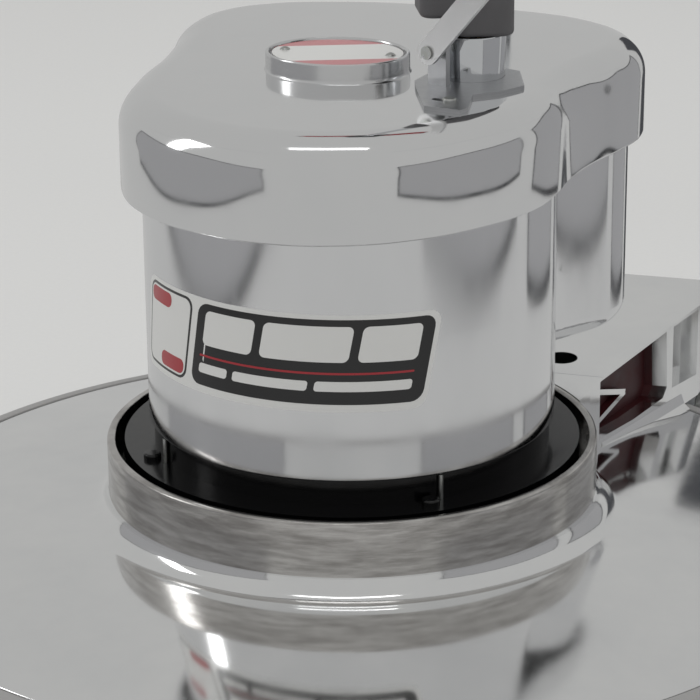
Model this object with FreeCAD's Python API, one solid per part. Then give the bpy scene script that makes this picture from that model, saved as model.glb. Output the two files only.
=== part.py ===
"""High speed burnisher: a single-disc floor polisher with a cast deck, an upright induction motor,
a rear yoke that carries the wheels and a tilting handle. Millimetres, +Z up. The origin lies on the
floor under the motor shaft; the machine's front faces -Y and the handle stands at the rear, +Y."""
import FreeCAD, Part
import math
import os
from FreeCAD import Vector

os.makedirs("parts", exist_ok=True)

# ---- driving dimensions -------------------------------------------------------------------------
PAD_R = 254.0                 # a 20 inch pad
PAD_T = 25.0
DRIVE_SCREW_R = 49.0          # circle of the screws that hold the pad driver to its hub
DECK_R = 259.0                # edge of the polished top of the deck
DECK_EDGE_Z = 110.0           # height of that edge above the floor
DECK_CROWN_Z = 123.4          # height of the dome where the collar's fillet ends
DECK_WALL = 5.0
SKIRT_BOTTOM_Z = 36.0
BUMPER_R = 272.0
COLLAR_R = 130.4
COLLAR_BORE_R = 126.0
COLLAR_TOP_Z = 163.4
COLLAR_FILLET = 12.0
MOTOR_FLOOR_Z = 128.0         # the motor's seat inside the collar
CAN_R = 107.5
CAN_WALL = 2.5
CAN_Z = 176.0                 # lower edge of the motor can
CAN_TOP_Z = 322.0
COVER_Z = 301.6               # lower edge of the cast top cover
COVER_TOP_Z = 354.0
COVER_WALL = 4.0
SHAFT_R = 15.0
RUN_GAP = 0.05                # radial clearance of a running fit
YOKE_REAR_Y = 280.0
YOKE_SLOPE = 2.2              # degrees that the yoke's top climbs to the rear
PIVOT_Y = 300.0
PIVOT_Z = 140.0
PIVOT_R = 6.0
LUG_IN = 66.0                 # inner and outer faces of the yoke's two rear lugs
LUG_OUT = 86.0
BRACKET_T = 6.0
WHEEL_R = 63.5                # 5 inch wheels
WHEEL_T = 32.0
WHEEL_IN = 100.0              # inner face of each wheel
AXLE_Y = 335.0
AXLE_R = 8.0
TUBE_R = 16.0
TUBE_WALL = 2.5
HEAD_Z = 1010.0               # middle of the switch head
GRIP_Y = 322.0
GRIP_Z = 1034.0
GRIP_R = 16.0
LEVER_Y = 288.0
LEVER_Z = 992.0
INLET_X = 59.5
INLET_Y = 18.0
INLET_R = 18.4                # at its mouth
INLET_FOOT_R = 17.3
INLET_PLATE_Z = 356.0         # top of the small plate round the inlet
INLET_TOP_Z = 378.6
INLET_TURN = -26.7            # degrees that the latch is turned about the vertical
PLUG_TURN = 22.0
LATCH_PIVOT_U = 1.6           # the latch's pin, to the right of the inlet's axis
LATCH_PIVOT_Z = 374.0
LATCH_L = 72.0
LATCH_W = 12.5
LATCH_T = 2.4


def export(name, *solids):
    """One node: one solid, or a group of separate like solids."""
    pieces = [piece for solid in solids for piece in solid.Solids]
    shape = pieces[0] if len(pieces) == 1 else Part.makeCompound(pieces)
    shape.exportStep("parts/%s.step" % name)


def disc(r, z0, z1, x=0.0, y=0.0):
    return Part.makeCylinder(r, z1 - z0, Vector(x, y, z0))


def ring(ro, ri, z0, z1, x=0.0, y=0.0):
    return disc(ro, z0, z1, x, y).cut(disc(ri, z0 - 1, z1 + 1, x, y))


def rod_x(r, x0, x1, y, z):
    return Part.makeCylinder(r, x1 - x0, Vector(x0, y, z), Vector(1, 0, 0))


def tube_x(ro, ri, x0, x1, y, z):
    return rod_x(ro, x0, x1, y, z).cut(rod_x(ri, x0 - 1, x1 + 1, y, z))


def rod_y(r, y0, y1, x, z):
    return Part.makeCylinder(r, y1 - y0, Vector(x, y0, z), Vector(0, 1, 0))


def block(x0, x1, y0, y1, z0, z1, r=0.0, direction="Z"):
    """A box whose four edges along one direction are rounded to r."""
    box = Part.makeBox(x1 - x0, y1 - y0, z1 - z0, Vector(x0, y0, z0))
    if r:
        axis = {"X": Vector(1, 0, 0), "Y": Vector(0, 1, 0), "Z": Vector(0, 0, 1)}[direction]
        edges = [e for e in box.Edges if abs(e.tangentAt(e.FirstParameter).dot(axis)) > 0.99]
        box = box.makeFillet(r, edges)
    return box


def polygon(points):
    return Part.Face(Part.makePolygon(points + [points[0]]))


def revolve(profile):
    """Turns a closed (radius, height) outline about the shaft."""
    face = polygon([Vector(r, 0, z) for r, z in profile])
    return face.revolve(Vector(0, 0, 0), Vector(0, 0, 1), 360)


def arc_points(cx, cz, r, a0, a1, n=10):
    steps = [math.radians(a0 + (a1 - a0) * i / n) for i in range(n + 1)]
    return [(cx + r * math.cos(a), cz + r * math.sin(a)) for a in steps]


def spline_face(points, z):
    curve = Part.BSplineCurve()
    curve.interpolate([Vector(x, y, z) for x, y in points], PeriodicFlag=True)
    return Part.Face(Part.Wire(curve.toShape()))


def inset(points, distance, closed=True):
    """Moves each point of a counter-clockwise outline inwards, square to the line through its neighbours."""
    moved = []
    last = len(points) - 1
    for i, (x, y) in enumerate(points):
        before = points[i - 1] if closed or i else points[0]
        after = points[(i + 1) % len(points)] if closed or i < last else points[last]
        run = math.hypot(after[0] - before[0], after[1] - before[1])
        moved.append((x - distance * (after[1] - before[1]) / run, y + distance * (after[0] - before[0]) / run))
    return moved


def turned(shape, degrees, centre):
    shape = shape.copy()
    shape.rotate(centre, Vector(0, 0, 1), degrees)
    return shape


def both_sides(shape):
    return [shape, shape.mirror(Vector(0, 0, 0), Vector(1, 0, 0))]


def polar(r, degrees):
    a = math.radians(degrees)
    return r * math.cos(a), r * math.sin(a)


# ---- deck: one polished casting, turned, with a skirt over the pad and a collar round the motor ----
def dome_profile():
    """The outer skin from the foot of the collar's wall, round its fillet and out to the deck's edge."""
    crown_r = COLLAR_R + COLLAR_FILLET
    fillet = arc_points(crown_r, DECK_CROWN_Z + COLLAR_FILLET, COLLAR_FILLET, 180, 270)
    fall = DECK_CROWN_Z - DECK_EDGE_Z
    steps = [i / 10 for i in range(1, 11)]
    return fillet + [(crown_r + (DECK_R - crown_r) * t, DECK_CROWN_Z - fall * t ** 1.35) for t in steps]


def deck_housing():
    skirt_r = DECK_R + 3.0
    skirt_in = skirt_r - DECK_WALL + 0.5
    lip = [(COLLAR_BORE_R, COLLAR_TOP_Z - 0.8), (COLLAR_BORE_R + 0.8, COLLAR_TOP_Z)]
    lip += arc_points(COLLAR_R - 1.2, COLLAR_TOP_Z - 1.2, 1.2, 90, 0, 4)
    skirt = [(DECK_R, 100.0), (skirt_r, 100.0), (skirt_r, SKIRT_BOTTOM_Z), (skirt_in, SKIRT_BOTTOM_Z)]
    underside = [(skirt_in, 96.0), (DECK_R - 12.0, 104.0)]
    underside += [(COLLAR_R + COLLAR_FILLET, DECK_CROWN_Z - DECK_WALL), (COLLAR_R, 118.0)]
    seat = [(70.0, 118.0), (70.0, MOTOR_FLOOR_Z), (COLLAR_BORE_R, MOTOR_FLOOR_Z)]
    return revolve(lip + dome_profile() + skirt + underside + seat)


def deck_envelope():
    """Everything under the deck's outer skin and inside its collar, to trim the yoke against."""
    above = COLLAR_TOP_Z + 20
    return revolve([(0, above), (COLLAR_R, above)] + dome_profile() + [(DECK_R, SKIRT_BOTTOM_Z), (0, SKIRT_BOTTOM_Z)])


def deck_bumper():
    gap_r = DECK_R + 0.9
    profile = [(gap_r, 100.4), (gap_r, DECK_EDGE_Z - 0.6), (gap_r + 0.6, DECK_EDGE_Z)]
    profile += arc_points(BUMPER_R - 8, DECK_EDGE_Z - 8, 8, 90, 0)
    profile += [(BUMPER_R, 88.0), (BUMPER_R - 4, 82.0), (DECK_R + 3.0, 82.0), (DECK_R + 3.0, 100.4)]
    return revolve(profile)


# ---- yoke: the rear part of the casting, with two pockets in each side and two lugs for the handle ----
def yoke_outline(z):
    half = [(108.0, 66.0), (110.5, 92.0), (113.0, 110.0), (134.5, 192.0), (147.5, 238.0), (148.5, 270.0),
            (141.0, YOKE_REAR_Y)]
    pts = half + [(-x, y) for x, y in reversed(half)]
    return polygon([Vector(x, y, z) for x, y in pts])


def flank_x(y):
    """Where the yoke's right flank stands at a distance y behind the shaft."""
    return 112.5 + (y - 108.0) * 0.268


def flank_prism(points, inside, outside):
    """An outline of (y, z) points on the flank, as a solid from `inside` behind it to `outside` before it."""
    face = polygon([Vector(flank_x(y) - inside, y, z) for y, z in points])
    return face.extrude(Vector(inside + outside, 0, 0))


def bar(y0, z0, y1, z1, width):
    """The outline of a straight rib on the flank."""
    run = math.hypot(y1 - y0, z1 - z0)
    dy, dz = -(z1 - z0) / run * width / 2, (y1 - y0) / run * width / 2
    return [(y0 - dy, z0 - dz), (y1 - dy, z1 - dz), (y1 + dy, z1 + dz), (y0 + dy, z0 + dz)]


POCKET_DEPTH = 14.0
FRONT_POCKET = [(108.5, 127.5), (152, 124.4), (191, 124.4), (196, 130), (193.5, 164.9), (108.5, 161.6)]
REAR_POCKET = [(202.5, 127), (235, 125), (235, 166.3), (202.5, 165.1)]
SEVEN = [bar(105, 155.5, 160, 138, 3.2), bar(160, 138, 106, 126, 3.2)]


def base_flange():
    """The fillet by which the flank runs out on the deck, trimmed at the deck's edge."""
    wires = []
    for y in (112.0, 222.0):
        foot = 124.0 - (y - 112.0) * 0.05
        x = flank_x(y)
        section = [(x - 16, 100), (x + 7, 100), (x + 7, foot - 7.5), (x + 2.5, foot - 5), (x, foot), (x - 16, foot)]
        wires.append(Part.makePolygon([Vector(px, y, pz) for px, pz in section + section[:1]]))
    flange = Part.makeLoft(wires, True, True)
    return flange.common(disc(DECK_R - 1.5, 90, 180))


def handle_yoke():
    body = yoke_outline(111.0).extrude(Vector(0, 0, 80))
    for piece in both_sides(base_flange()):
        body = body.fuse(piece)
    roof = Part.makeBox(400, 400, 60, Vector(-200, 110, COLLAR_TOP_Z))
    roof.rotate(Vector(0, 110, COLLAR_TOP_Z), Vector(1, 0, 0), YOKE_SLOPE)
    front_roof = Part.makeBox(400, 120, 60, Vector(-200, -8, COLLAR_TOP_Z))
    body = body.cut(roof).cut(front_roof)
    tunnel = block(-106, 106, 150, YOKE_REAR_Y + 10, 119.5, 156, 10, "Y")
    body = body.cut(tunnel)
    notch = block(-LUG_IN, LUG_IN, 272, 330, 100, 200)
    body = body.cut(notch)
    pocket = flank_prism(FRONT_POCKET, POCKET_DEPTH, 20)
    for rib in SEVEN:
        pocket = pocket.cut(flank_prism(rib, POCKET_DEPTH + 1, -POCKET_DEPTH + 5))
    rear_pocket = flank_prism(REAR_POCKET, POCKET_DEPTH - 4, 20)
    hole = Part.makeCylinder(2.5, 30, Vector(flank_x(221) - 20, 221, 159.5), Vector(1, 0, 0))
    for piece in both_sides(pocket) + both_sides(rear_pocket) + both_sides(hole):
        body = body.cut(piece)
    for piece in both_sides(Part.makeCylinder(9.0, 60, Vector(85, 135, 140))):
        body = body.cut(piece)
    body = body.cut(both_sides(block(LUG_OUT, LUG_OUT + BRACKET_T + 1, 261, 290, 100, 130)))
    lug = block(LUG_IN, LUG_OUT, YOKE_REAR_Y - 12, PIVOT_Y, 118, 160)
    lug = lug.fuse(rod_x(20, LUG_IN, LUG_OUT, PIVOT_Y, PIVOT_Z))
    for piece in both_sides(lug):
        body = body.fuse(piece)
    body = body.cut(rod_x(PIVOT_R, -100, 100, PIVOT_Y, PIVOT_Z))
    body = body.cut(bracket_bolts())
    return body.cut(deck_envelope()).removeSplitter()


# ---- motor: end bells, can, stator, rotor ----
BOLT_CIRCLE_R = 101.2
BOLT_R = 2.5
BOLT_ANGLES = [45, 135, 225, 315]


def bolt_holes(shape, r, z0, z1):
    for angle in BOLT_ANGLES:
        shape = shape.cut(disc(r, z0, z1, *polar(BOLT_CIRCLE_R, angle)))
    return shape


def lower_end_bell():
    bell = ring(121, 31, MOTOR_FLOOR_Z, 134)
    bell = bell.fuse(ring(121, 115, 134, 157))
    bell = bell.fuse(ring(121, 96, 157, COLLAR_TOP_Z - 0.6))
    bell = bell.fuse(ring(CAN_R - CAN_WALL, 97, COLLAR_TOP_Z - 0.6, 190))
    bell = bell.fuse(ring(42, 31, 134, 148))
    bell = bell.fuse(disc(31.5, 146, 148)).cut(disc(18, 145, 150))
    return bolt_holes(bell, BOLT_R, 175, 200).removeSplitter()


END_SCREW_ANGLES = [-53, -53 + 90, -53 + 180, -53 + 270]


def end_bell_screws():
    screws = []
    for angle in END_SCREW_ANGLES:
        x, y = polar(111, angle)
        head = disc(4.6, COLLAR_TOP_Z - 0.6, COLLAR_TOP_Z + 2.4, x, y)
        head = head.makeFillet(1.2, [head.Edges[0]])
        screws.append(head)
    return screws


def motor_can():
    return ring(CAN_R, CAN_R - CAN_WALL, CAN_Z, CAN_TOP_Z)


def stator_core():
    core = ring(CAN_R - CAN_WALL, 61, 204, 284)
    for i in range(24):
        x, y = polar(61 + 9, i * 15)
        core = core.cut(disc(4.2, 200, 290, x, y))
    return bolt_holes(core, BOLT_R + 0.8, 200, 290)


def stator_windings():
    lower = ring(96, 66, 191, 203.8)
    upper = ring(96, 66, 284.2, 297)
    return [w.makeFillet(4, w.Edges) for w in (lower, upper)]


def upper_end_bell():
    bell = ring(CAN_R - CAN_WALL, 26, 303, 309)
    bell = bell.fuse(ring(CAN_R - CAN_WALL, 97, 299, 303))
    bell = bell.fuse(ring(36, 26, 303, 324))
    return bolt_holes(bell, BOLT_R, 290, 315).removeSplitter()


def through_bolts():
    bolts = []
    for angle in BOLT_ANGLES:
        x, y = polar(BOLT_CIRCLE_R, angle)
        shank = disc(BOLT_R, 175, 309, x, y)
        head = disc(3.6, 309, 312.5, x, y)
        bolts.append(shank.fuse(head))
    return bolts


def bearing(ro, ri, z0, z1):
    race = ring(ro, ri, z0, z1)
    groove = ring((ro + ri) / 2 + 3, (ro + ri) / 2 - 3, z1 - 1.0, z1 + 1)
    return race.cut(groove)


def motor_shaft():
    shaft = disc(12, 47, 84).fuse(disc(SHAFT_R, 84, 303))
    shaft = shaft.fuse(disc(12.5, 303, 325)).fuse(disc(9, 325, 345))
    return shaft.cut(disc(5, 40, 74)).removeSplitter()


def rotor_core():
    core = ring(60, SHAFT_R, 204, 284)
    rings = ring(56, 40, 198, 204).fuse(ring(56, 40, 284, 290))
    return core.fuse(rings).removeSplitter()


def cooling_fan():
    fan = ring(20, 9, 327, 343).fuse(ring(86, 9, 327, 329))
    for i in range(9):
        blade = Part.makeBox(66, 2.2, 12, Vector(18, -1.1, 329))
        fan = fan.fuse(turned(blade, i * 40, Vector(0, 0, 0)))
    return fan.removeSplitter()


# ---- drive under the deck ----
def drive_hub():
    hub = ring(26, 12, 56, 84).fuse(ring(55, 12, 47, 56))
    for i in range(3):
        x, y = polar(DRIVE_SCREW_R, 90 + i * 120)
        hub = hub.cut(disc(3, 40, 60, x, y))
    return hub


def spindle_bolt():
    shank = disc(5, 47, 73)
    washer = disc(15, 44, 47)
    head = disc(8.5, 38, 44)
    return shank.fuse(washer).fuse(head).removeSplitter()


def drive_screws():
    screws = []
    for i in range(3):
        x, y = polar(DRIVE_SCREW_R, 90 + i * 120)
        screws.append(disc(3, 40, 56, x, y).fuse(disc(5.5, 56, 61, x, y)).removeSplitter())
    return screws


def pad_driver():
    plate = ring(248, 42, PAD_T, PAD_T + 9).fuse(ring(75, 42, PAD_T + 9, 40))
    plate = plate.fuse(ring(75, 20, 40, 47))
    for i in range(3):
        x, y = polar(DRIVE_SCREW_R, 90 + i * 120)
        plate = plate.cut(disc(3, 35, 50, x, y))
    return plate.removeSplitter()


def pad():
    disc_pad = ring(PAD_R, 42, 0, PAD_T).cut(disc(58, -1, 13))
    return disc_pad


def centre_lock():
    flange = ring(57.5, 30, 9, 13)
    sleeve = ring(42, 30, 13, 39.5)
    lock = flange.fuse(sleeve)
    for i in range(6):
        x, y = polar(57.5, i * 60)
        lock = lock.cut(disc(6, 8, 13, x, y))
    return lock.removeSplitter()


# ---- top cover: the polished casting that closes the motor and, behind it, the capacitor box ----
COVER_OUTLINE = [(-5, -121), (30, -115), (60, -98), (87, -68), (104, -36), (110, -6), (111, 26),
                 (116, 58), (125, 88), (130, 118), (123, 150), (98, 178), (56, 195), (0, 199),
                 (-60, 194), (-104, 177), (-128, 150), (-134, 118), (-127, 80), (-121, 38),
                 (-118, -5), (-108, -48), (-82, -88), (-46, -112)]


def cover_face(wall, z):
    return spline_face(inset(COVER_OUTLINE, wall), z)


def top_edges(shape, z):
    return [e for e in shape.Edges if abs(e.BoundBox.ZMin - z) < 0.01 and abs(e.BoundBox.ZMax - z) < 0.01]


def motor_cover():
    height = COVER_TOP_Z - COVER_Z
    body = cover_face(0, COVER_Z).extrude(Vector(0, 0, height))
    body = body.makeFillet(20, top_edges(body, COVER_TOP_Z))
    hollow = cover_face(COVER_WALL, COVER_Z - 1).extrude(Vector(0, 0, height + 1 - COVER_WALL))
    hollow = hollow.makeFillet(16, top_edges(hollow, COVER_TOP_Z - COVER_WALL))
    body = body.cut(hollow).cut(disc(CAN_R, COVER_Z - 1, CAN_TOP_Z + 1))
    badge_seat = oval(38, 32, COVER_TOP_Z - 2, COVER_TOP_Z + 10)
    body = body.fuse(badge_seat).cut(oval(34.5, 28.5, COVER_TOP_Z + 8, COVER_TOP_Z + 12))
    body = body.cut(badge_rivets() + cover_screws())
    return body.removeSplitter()


BADGE_X = -12.0
BADGE_Y = 20.0


def oval(a, b, z0, z1):
    curve = Part.Ellipse(Vector(BADGE_X, BADGE_Y, z0), a, b)
    return Part.Face(Part.Wire(curve.toShape())).extrude(Vector(0, 0, z1 - z0))


def badge_rivets():
    rivets = []
    for side in (-1, 1):
        shank = disc(1.6, COVER_TOP_Z + 6, COVER_TOP_Z + 9, BADGE_X + side * 28.5, BADGE_Y)
        ball = Part.makeSphere(3.2, Vector(BADGE_X + side * 28.5, BADGE_Y, COVER_TOP_Z + 7.4))
        dome = ball.cut(disc(9, COVER_TOP_Z, COVER_TOP_Z + 9, BADGE_X + side * 28.5, BADGE_Y))
        rivets.append(dome.fuse(shank).removeSplitter())
    return rivets


def badge_plate():
    plate = oval(34.5, 28.5, COVER_TOP_Z + 8, COVER_TOP_Z + 9)
    for side in (-1, 1):
        plate = plate.cut(disc(1.6, COVER_TOP_Z, COVER_TOP_Z + 12, BADGE_X + side * 28.5, BADGE_Y))
    return plate


def cover_screws():
    return [rod_y(4.8, 189.5, 199.0, x, 316).fuse(rod_y(2.4, 176, 189.5, x, 316)).removeSplitter()
            for x in (-58, 58)]


# ---- capacitor box: a deep-drawn chromed cover on the back of the can ----
BOX_OUTLINE = [(92, 55), (107, 78), (119, 98), (122.5, 118), (113, 150), (92, 174), (58, 186), (0, 189)]
BOX_Z = 196.0
BOX_TOP_Z = 312.0


def box_face(wall, z):
    pts = BOX_OUTLINE + [(-x, y) for x, y in reversed(BOX_OUTLINE[:-1])]
    pts = [Vector(x, y, z) for x, y in inset(pts, wall, closed=False)]
    curve = Part.BSplineCurve()
    curve.interpolate(pts)
    chord = Part.LineSegment(pts[-1], pts[0]).toShape()
    return Part.Face(Part.Wire([curve.toShape(), chord]))


def capacitor_cover():
    body = box_face(0, BOX_Z).extrude(Vector(0, 0, BOX_TOP_Z - BOX_Z))
    rim = [e for e in top_edges(body, BOX_Z) if e.BoundBox.YMax > 60]
    body = body.makeFillet(12, rim)
    hollow = box_face(1.6, BOX_Z + 1.6).extrude(Vector(0, 0, BOX_TOP_Z - BOX_Z))
    hollow_rim = [e for e in top_edges(hollow, BOX_Z + 1.6) if e.BoundBox.YMax > 60]
    hollow = hollow.makeFillet(10.4, hollow_rim)
    return body.cut(hollow).cut(disc(CAN_R, 100, 400))


CAP_R = 22.0
CAP_CENTRES = [(-48, 140), (2, 148), (50, 140)]


def capacitors():
    cans = []
    for x, y in CAP_CENTRES:
        can = disc(CAP_R, 214, 290, x, y)
        terminals = [Part.makeBox(2, 7, 9, Vector(x + s * 7 - 1, y - 3.5, 289)) for s in (-1, 1)]
        can = can.makeFillet(2, top_edges(can, 214))
        cans.append(can.fuse(terminals).removeSplitter())
    return cans


def capacitor_bracket():
    """A steel shelf on the can that holds three clamp bands."""
    wall = Part.makeBox(150, 12, 60, Vector(-75, 104, 222)).cut(disc(CAN_R, 200, 300))
    wall = wall.cut(Part.makeBox(170, 20, 70, Vector(-85, 112, 216)))
    bracket = wall
    for x, y in CAP_CENTRES:
        bracket = bracket.fuse(ring(CAP_R + 2, CAP_R, 244, 256, x, y))
        arm_y1 = y - CAP_R - 0.5
        bracket = bracket.fuse(Part.makeBox(10, arm_y1 - 110 + 1, 12, Vector(x - 5, 110, 244)))
    for x, y in CAP_CENTRES:
        bracket = bracket.cut(disc(CAP_R, 200, 300, x, y))
    return bracket.removeSplitter()


# ---- power inlet, its plate and the plug that is latched into it ----
def on_plate(shape):
    """Moves a piece drawn with its origin under the inlet into place and turns it with the plate."""
    shape = shape.copy()
    shape.rotate(Vector(0, 0, 0), Vector(0, 0, 1), INLET_TURN)
    shape.translate(Vector(INLET_X, INLET_Y, 0))
    return shape


LATCH_FRONT = -35.4
EAR_FRONT = -28.0
PLATE = [(35, -1), (39, -14), (52.6, -49.2), (72, -53), (74.2, -45.8), (70.5, -22), (82, -12), (91, 3), (82, 32),
         (60, 41), (40, 28)]
SLOT = [(55, -35.2), (62.6, -38.2)]


def inlet_bracket():
    """A plate round the inlet, with a slotted foot screwed to the cover and an ear for the latch."""
    plate = polygon([Vector(x, y, COVER_TOP_Z) for x, y in PLATE]).extrude(Vector(0, 0, INLET_PLATE_Z - COVER_TOP_Z))
    (x0, y0), (x1, y1) = SLOT
    run = math.hypot(x1 - x0, y1 - y0)
    slot = Part.makeBox(run, 4, 10, Vector(0, -2, 350))
    slot.rotate(Vector(0, 0, 0), Vector(0, 0, 1), math.degrees(math.atan2(y1 - y0, x1 - x0)))
    slot.translate(Vector(x0, y0, 0))
    for x, y in SLOT:
        slot = slot.fuse(disc(2, 350, 360, x, y))
    plate = plate.cut(slot)
    ear = block(LATCH_PIVOT_U - 6, LATCH_PIVOT_U + 6, EAR_FRONT, EAR_FRONT + 3, INLET_PLATE_Z - 1, LATCH_PIVOT_Z + 6)
    ear = ear.cut(rod_y(2.5, EAR_FRONT - 5, EAR_FRONT + 9, LATCH_PIVOT_U, LATCH_PIVOT_Z))
    plate = plate.fuse(on_plate(ear)).cut(on_plate(disc(INLET_FOOT_R + 0.2, 350, 400)))
    return plate.removeSplitter()


def power_inlet():
    shell = Part.makeCone(INLET_FOOT_R, INLET_R, INLET_TOP_Z - COVER_TOP_Z, Vector(0, 0, COVER_TOP_Z))
    return on_plate(shell.cut(disc(INLET_FOOT_R - 2.3, COVER_TOP_Z + 8, 400)))


def inlet_pins():
    return [on_plate(disc(2.4, COVER_TOP_Z + 8, INLET_TOP_Z - 4, *polar(8.5, a))) for a in (90, 210, 330)]


def plug_block(x0, x1, z0, z1):
    body = block(x0, x1, -16, 16, z0, z1, 7)
    edges = [e for e in body.Edges if abs(e.BoundBox.ZMin - e.BoundBox.ZMax) < 0.01]
    return body.makeFillet(2.5, edges)


def motor_plug():
    plug = plug_block(-9.6, 20.6, INLET_TOP_Z, 418).fuse(plug_block(-27.6, 10, 388.8, 418))
    plug = plug.cut(Part.makeCylinder(5, 14, Vector(-30, 0, 404), Vector(1, 0, 0)))
    plug.rotate(Vector(0, 0, 0), Vector(0, 0, 1), PLUG_TURN)
    plug.translate(Vector(INLET_X, INLET_Y, 0))
    return plug.removeSplitter()


def bracket_screw():
    x, y = SLOT[1]
    head = disc(3.6, INLET_PLATE_Z, INLET_PLATE_Z + 2, x, y)
    head = head.makeFillet(1, top_edges(head, INLET_PLATE_Z + 2))
    return head.fuse(disc(1.8, COVER_TOP_Z, INLET_PLATE_Z, x, y)).removeSplitter()


def latch_pin():
    """A shouldered rivet: its spacer keeps the latch clear of the plug."""
    u, z = LATCH_PIVOT_U, LATCH_PIVOT_Z
    pin = rod_y(2.5, LATCH_FRONT - 0.3, EAR_FRONT + 4.5, u, z)
    pin = pin.fuse([rod_y(3.4, LATCH_FRONT - 1.1, LATCH_FRONT - 0.3, u, z),
                    rod_y(4.2, LATCH_FRONT + LATCH_T + 0.3, EAR_FRONT, u, z)])
    return on_plate(pin.removeSplitter())


def plug_latch():
    """A flat bar that swings on its pin and lies across the front of the plug."""
    u, z = LATCH_PIVOT_U, LATCH_PIVOT_Z
    rear = LATCH_FRONT + LATCH_T
    bar = Part.makeBox(LATCH_L, LATCH_T, LATCH_W, Vector(u, LATCH_FRONT, z - LATCH_W / 2))
    eye = rod_y(LATCH_W / 2, LATCH_FRONT, rear, u, z)
    tip = rod_y(LATCH_W / 2, LATCH_FRONT, rear, u + LATCH_L, z)
    bar = bar.fuse([eye, tip])
    bar = bar.cut(rod_y(2.5 + RUN_GAP, LATCH_FRONT - 5, rear + 5, u, z)).removeSplitter()
    bar.rotate(Vector(u, 0, z), Vector(0, 1, 0), -47)
    return on_plate(bar)


# ---- wheels, axle and their brackets ----
def wheel_brackets():
    pts = [(262, 122), (262, 156), (306, 156), (320, 130), (AXLE_Y + 15, WHEEL_R),
           (AXLE_Y, WHEEL_R - 15), (AXLE_Y - 15, WHEEL_R)]
    face = polygon([Vector(LUG_OUT, y, z) for y, z in pts])
    plate = face.extrude(Vector(BRACKET_T, 0, 0))
    plate = plate.cut(rod_x(AXLE_R, 0, 200, AXLE_Y, WHEEL_R)).cut(rod_x(PIVOT_R, 0, 200, PIVOT_Y, PIVOT_Z))
    plate = plate.cut(rod_x(4, 0, 200, 274, PIVOT_Z))
    return both_sides(plate)


def wheel_axle():
    return rod_x(AXLE_R, -140, 140, AXLE_Y, WHEEL_R)


def axle_collars():
    inner = tube_x(13, AXLE_R, LUG_OUT + BRACKET_T, WHEEL_IN - 0.5, AXLE_Y, WHEEL_R)
    cap = rod_x(12, WHEEL_IN + WHEEL_T + 0.5, 142, AXLE_Y, WHEEL_R).cut(rod_x(AXLE_R, 0, 140, AXLE_Y, WHEEL_R))
    return both_sides(inner) + both_sides(cap)


def wheel_tyre():
    tyre = tube_x(WHEEL_R, 48, WHEEL_IN, WHEEL_IN + WHEEL_T, AXLE_Y, WHEEL_R)
    edges = [e for e in tyre.Edges if e.BoundBox.ZLength > 2 * WHEEL_R - 1]
    return tyre.makeFillet(7, edges)


def wheel_hub():
    hub = tube_x(48, 40, WHEEL_IN + 2, WHEEL_IN + WHEEL_T - 2, AXLE_Y, WHEEL_R)
    hub = hub.fuse(tube_x(44, AXLE_R + RUN_GAP, WHEEL_IN + 13, WHEEL_IN + 19, AXLE_Y, WHEEL_R))
    return hub.fuse(tube_x(15, AXLE_R + RUN_GAP, WHEEL_IN, WHEEL_IN + WHEEL_T, AXLE_Y, WHEEL_R)).removeSplitter()


# ---- handle: base, tube, head, grips ----
def pivot_bolt():
    bolt = rod_x(PIVOT_R, -92, 101, PIVOT_Y, PIVOT_Z)
    head = rod_x(11, 92, 101, PIVOT_Y, PIVOT_Z)
    stud = rod_x(PIVOT_R, -108, -92, PIVOT_Y, PIVOT_Z)
    return bolt.fuse([head, stud]).removeSplitter()


def tilt_lock_lever():
    hub = rod_x(12, -104, -92.5, PIVOT_Y, PIVOT_Z)
    arm = Part.makeBox(8, 66, 9, Vector(-102, PIVOT_Y, PIVOT_Z - 4.5))
    knob = rod_x(8, -106, -92.5, PIVOT_Y + 70, PIVOT_Z)
    lever = hub.fuse([arm, knob]).cut(rod_x(PIVOT_R + RUN_GAP, -120, -80, PIVOT_Y, PIVOT_Z))
    return lever.removeSplitter()


def bracket_bolts():
    bolt = rod_x(4, LUG_OUT - 14, LUG_OUT + BRACKET_T, 274, PIVOT_Z)
    bolt = bolt.fuse(rod_x(7, LUG_OUT + BRACKET_T, LUG_OUT + BRACKET_T + 5, 274, PIVOT_Z))
    return both_sides(bolt.removeSplitter())


SOCKET_TOP_Z = 262.0
TUBE_BOTTOM_Z = 172.0
TUBE_TOP_Z = HEAD_Z - 46


def handle_base():
    base = rod_x(19, -LUG_IN + 0.5, LUG_IN - 0.5, PIVOT_Y, PIVOT_Z)
    base = base.fuse(disc(22, PIVOT_Z, SOCKET_TOP_Z, 0, PIVOT_Y))
    base = base.cut(disc(TUBE_R, TUBE_BOTTOM_Z, SOCKET_TOP_Z + 5, 0, PIVOT_Y))
    gusset = Part.makeBox(90, 8, 40, Vector(-45, PIVOT_Y - 4, PIVOT_Z))
    base = base.fuse(gusset).cut(disc(TUBE_R, TUBE_BOTTOM_Z, SOCKET_TOP_Z + 5, 0, PIVOT_Y))
    base = base.cut([rod_x(PIVOT_R + RUN_GAP, -90, 90, PIVOT_Y, PIVOT_Z)] + socket_bolts())
    return base.removeSplitter()


def handle_tube():
    return ring(TUBE_R, TUBE_R - TUBE_WALL, TUBE_BOTTOM_Z, TUBE_TOP_Z, 0, PIVOT_Y)


def socket_bolts():
    return [rod_y(4, PIVOT_Y - 26, PIVOT_Y - TUBE_R, 0, z).fuse(
        rod_y(7, PIVOT_Y - 28, PIVOT_Y - 22, 0, z)).removeSplitter() for z in (205, 240)]


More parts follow.
